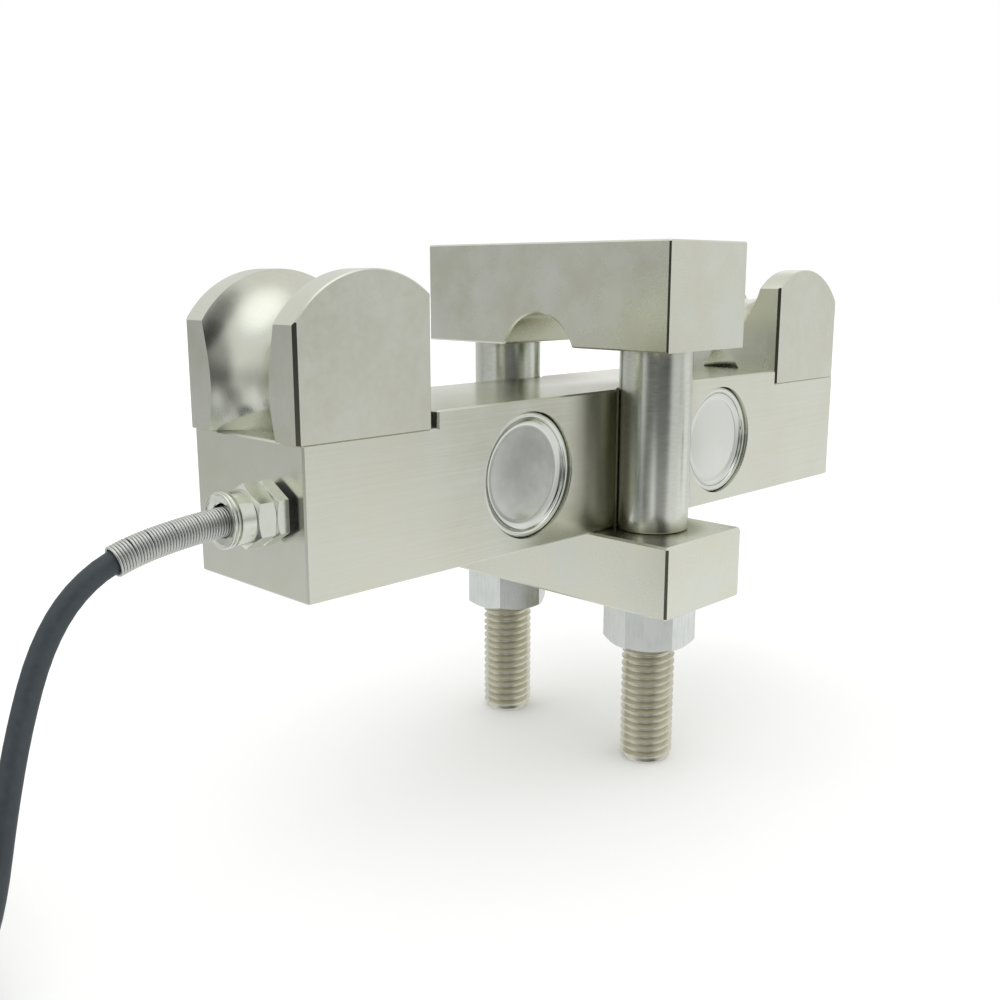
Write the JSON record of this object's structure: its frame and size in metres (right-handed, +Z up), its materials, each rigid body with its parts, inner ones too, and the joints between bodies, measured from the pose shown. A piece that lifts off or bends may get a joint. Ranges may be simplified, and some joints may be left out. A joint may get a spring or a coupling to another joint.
{
  "type": "rope tension load cell",
  "caption": "Bar-shaped tension load cell that clamps over a wire rope: grooved saddles at both ends, a centre clamp frame on studs, round gauge covers, and a cable gland with lead.",
  "frame": {"origin": "on the axis of the clamp block's half-round rope groove, midway along the beam and midway across it", "axes": "+X along the beam and the rope, away from the cable gland; +Y across the beam, away from the side seen in the picture; +Z up, from the clamp bar to the clamp block"},
  "size_m": [0.2992, 0.1002, 0.1172],
  "materials": {
    "beam_steel": "satin nickel-plated alloy steel, fine lengthwise grain",
    "saddle_steel": "satin nickel-plated steel with a brighter turned groove",
    "block_steel": "satin nickel-plated steel, cloudy mottling",
    "bar_steel": "satin nickel-plated steel",
    "rod_steel": "turned and polished steel, nickel-plated",
    "nut_zinc": "blue zinc-plated steel",
    "screw_black": "black oxide socket screws",
    "cover_steel": "pressed stainless sheet, bright",
    "gauge_foil": "polyimide-backed foil gauge",
    "board_laminate": "glass-epoxy laminate",
    "wire_cores": "insulated wire cores",
    "gland_brass": "nickel-plated brass",
    "seal_rubber": "black rubber",
    "spring_steel": "bright spring wire",
    "cable_jacket": "dark blue-grey polyurethane jacket",
    "tie_plastic": "black nylon",
    "sleeve_shrink": "heat-shrink sleeve"
  },
  "bodies": {
    "root": {"load_beam": "beam_steel", "saddle_left": "saddle_steel", "saddle_right": "saddle_steel", "saddle_screws_left": "screw_black", "saddle_screws_right": "screw_black", "clamp_block": "block_steel", "clamp_rod_front": "rod_steel", "clamp_rod_rear": "rod_steel", "clamp_bar": "bar_steel", "nut_front": "nut_zinc", "nut_rear": "nut_zinc", "cover_front_left": "cover_steel", "cover_front_right": "cover_steel", "cover_rear_left": "cover_steel", "cover_rear_right": "cover_steel", "gauge_front_left": "gauge_foil", "gauge_front_right": "gauge_foil", "gauge_rear_left": "gauge_foil", "gauge_rear_right": "gauge_foil", "terminal_board": "board_laminate", "bridge_wires": "wire_cores", "gland_seal": "seal_rubber", "gland_body": "gland_brass", "gland_nut": "gland_brass", "gland_grommet": "seal_rubber", "bend_spring": "spring_steel", "cable": "cable_jacket", "cable_coil": "cable_jacket", "cable_tie": "tie_plastic", "end_sleeve": "sleeve_shrink", "bare_leads": "wire_cores"}
  },
  "joints": []
}
